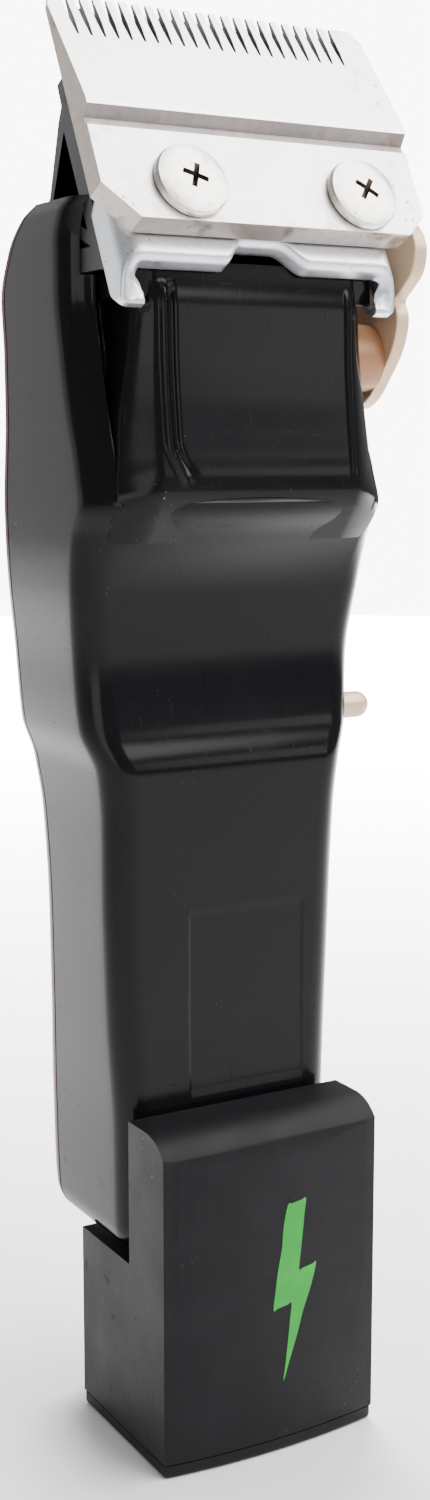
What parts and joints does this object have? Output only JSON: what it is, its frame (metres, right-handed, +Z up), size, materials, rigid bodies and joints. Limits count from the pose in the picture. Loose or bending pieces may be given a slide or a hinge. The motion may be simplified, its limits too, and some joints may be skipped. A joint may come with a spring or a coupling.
{
  "type": "hair clipper",
  "caption": "Upright cordless hair clipper with a wide steel blade, side taper lever and slide switch, standing on an L-shaped plug-on charging adapter.",
  "frame": {"origin": "centre of the charging adapter's flat underside", "axes": "+Z up along the clipper, -Y towards the side with the blade screws, +X towards the taper lever"},
  "size_m": [0.0495, 0.0409, 0.1945],
  "materials": {
    "black_gloss": "glossy, lightly scratched",
    "burgundy_gloss": "glossy",
    "black_matt": "matt moulded",
    "black_frame": "satin moulded",
    "blade_steel": "ground, faintly stained",
    "zinc": "bright plated sheet",
    "nickel": "warm nickel plate",
    "gold_plastic": "satin gold beige",
    "copper": "enamelled wire",
    "board_green": "solder mask",
    "cell_wrap": "shrink film",
    "ferrite": "sintered sheet"
  },
  "bodies": {
    "clipper": {"lower_housing": "black_gloss", "lid": "burgundy_gloss", "case_screw_left": "nickel", "case_screw_right": "nickel", "motor_can": "blade_steel", "motor_end_cap": "black_matt", "motor_mount": "black_matt", "battery_cell": "cell_wrap", "circuit_board": "board_green", "switch_body": "black_matt", "charge_jack": "black_matt", "tension_frame": "black_frame", "tension_spring": "blade_steel", "lever_screw": "nickel"},
    "rotor": {"motor_shaft": "blade_steel", "eccentric_cam": "black_matt"},
    "cutter": {"cutter_blade": "blade_steel", "drive_yoke": "black_matt"},
    "bottom_blade": {"bottom_blade": "blade_steel", "taper_bracket": "zinc", "blade_screw_left": "nickel", "blade_screw_right": "nickel"},
    "lever": {"taper_lever": "gold_plastic"},
    "power_switch": {"power_switch": "gold_plastic"},
    "adapter": {"adapter_shell": "black_matt", "adapter_bottom_cover": "black_matt", "adapter_screw_front_left": "nickel", "adapter_screw_front_right": "nickel", "adapter_screw_back_left": "nickel", "adapter_screw_back_right": "nickel", "receiver_coil": "copper", "ferrite_sheet": "ferrite", "adapter_board": "board_green", "adapter_plug": "nickel"}
  },
  "joints": [
    {"name": "taper_lever_turn", "type": "hinge", "parent": "clipper", "child": "lever", "pos_m": [0.0239, 0.003, 0.1505], "axis": [1, 0, 0], "range_deg": [0, 45]},
    {"name": "bottom_blade_slide", "type": "slide", "parent": "clipper", "child": "bottom_blade", "axis": [0, -0.4509, -0.8926], "range_m": [0, 0.0016]},
    {"name": "cutter_slide", "type": "slide", "parent": "clipper", "child": "cutter", "axis": [1, 0, 0], "range_m": [-0.0012, 0.0012]},
    {"name": "motor_spin", "type": "hinge", "parent": "clipper", "child": "rotor", "pos_m": [0, 0.0133, 0.14], "axis": [0, 0, 1], "continuous": true},
    {"name": "power_switch_slide", "type": "slide", "parent": "clipper", "child": "power_switch", "axis": [0, 0, 1], "range_m": [0, 0.004]},
    {"name": "adapter_pull", "type": "slide", "parent": "clipper", "child": "adapter", "axis": [0, 0, -1], "range_m": [0, 0.012]}
  ],
  "couplings": [
    {"joint": "taper_lever_turn", "follows": "bottom_blade_slide", "rad_per_m": 490.8}
  ]
}
